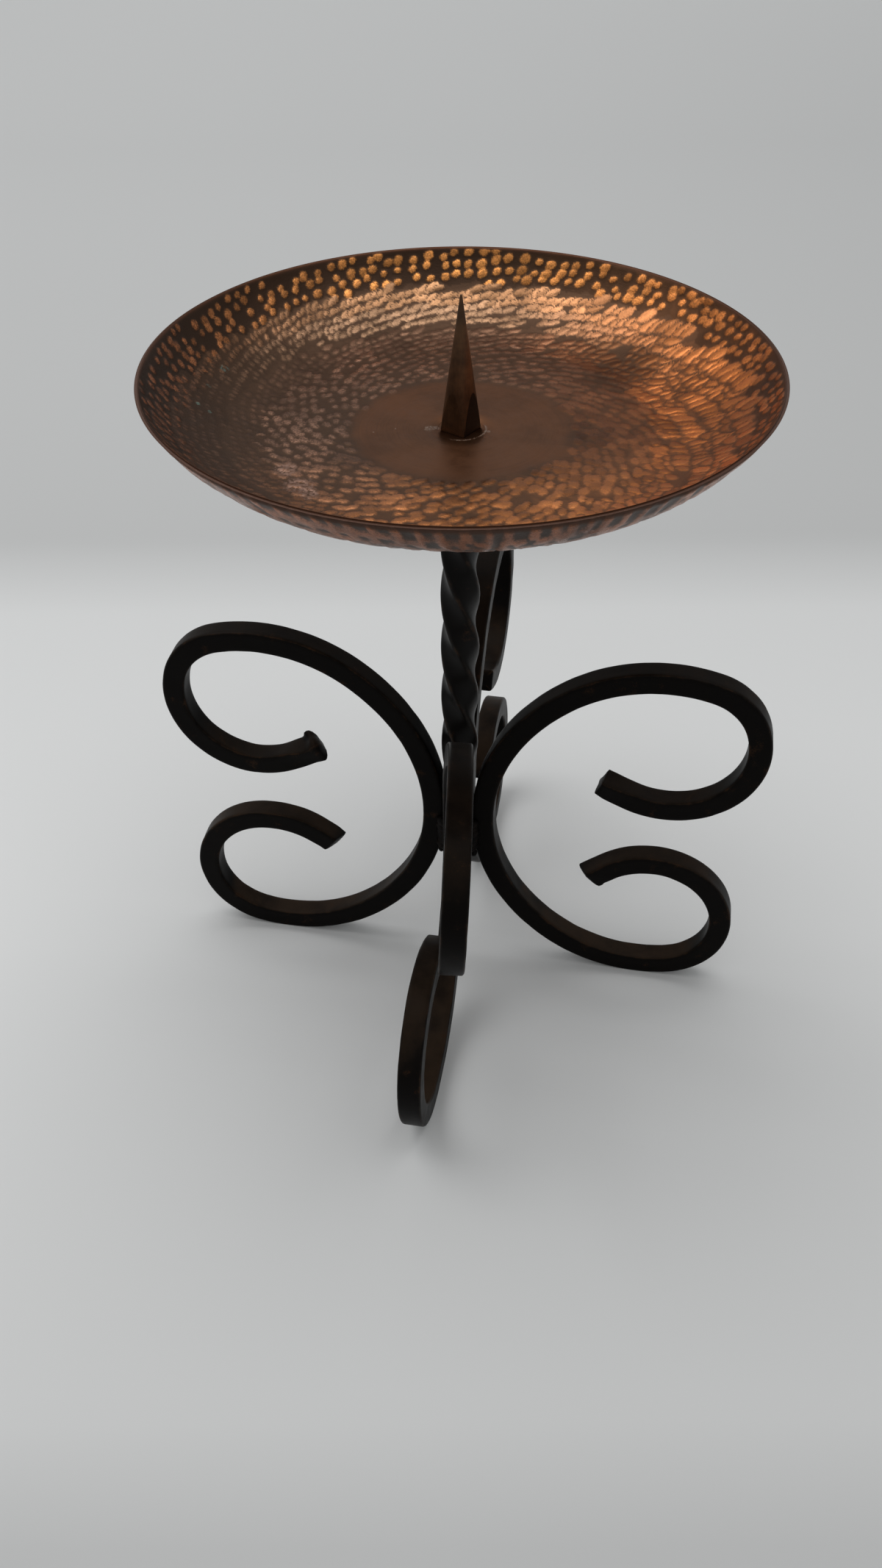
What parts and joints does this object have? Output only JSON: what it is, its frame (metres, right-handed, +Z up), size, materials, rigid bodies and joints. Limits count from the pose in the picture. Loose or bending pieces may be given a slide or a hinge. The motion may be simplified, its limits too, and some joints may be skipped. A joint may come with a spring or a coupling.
{
  "type": "pricket candle stand",
  "caption": "Pricket candle stand: shallow hammered copper dish with an upright spike, on a twisted iron stem carried by welded C-scroll feet.",
  "frame": {"origin": "on the floor, on the stem's axis", "axes": "+Z up along the stem; +X to the right scroll and -Y to the front scroll, whose upper arm is turned aside"},
  "size_m": [0.2132, 0.2127, 0.262],
  "materials": {
    "copper": "hammered, dark patina in the hollows and bright rubbed high spots",
    "spike_iron": "turned, brown patina",
    "iron": "blackened satin with worn edges",
    "weld": "as welded, blackened"
  },
  "bodies": {
    "root": {"copper_dish": "copper", "spike": "spike_iron", "twisted_stem": "iron", "scroll_front": "iron", "scroll_back": "iron", "scroll_left": "iron", "scroll_right": "iron", "weld_front_left": "weld", "weld_front_right": "weld", "weld_back_left": "weld", "weld_back_right": "weld"}
  },
  "joints": []
}
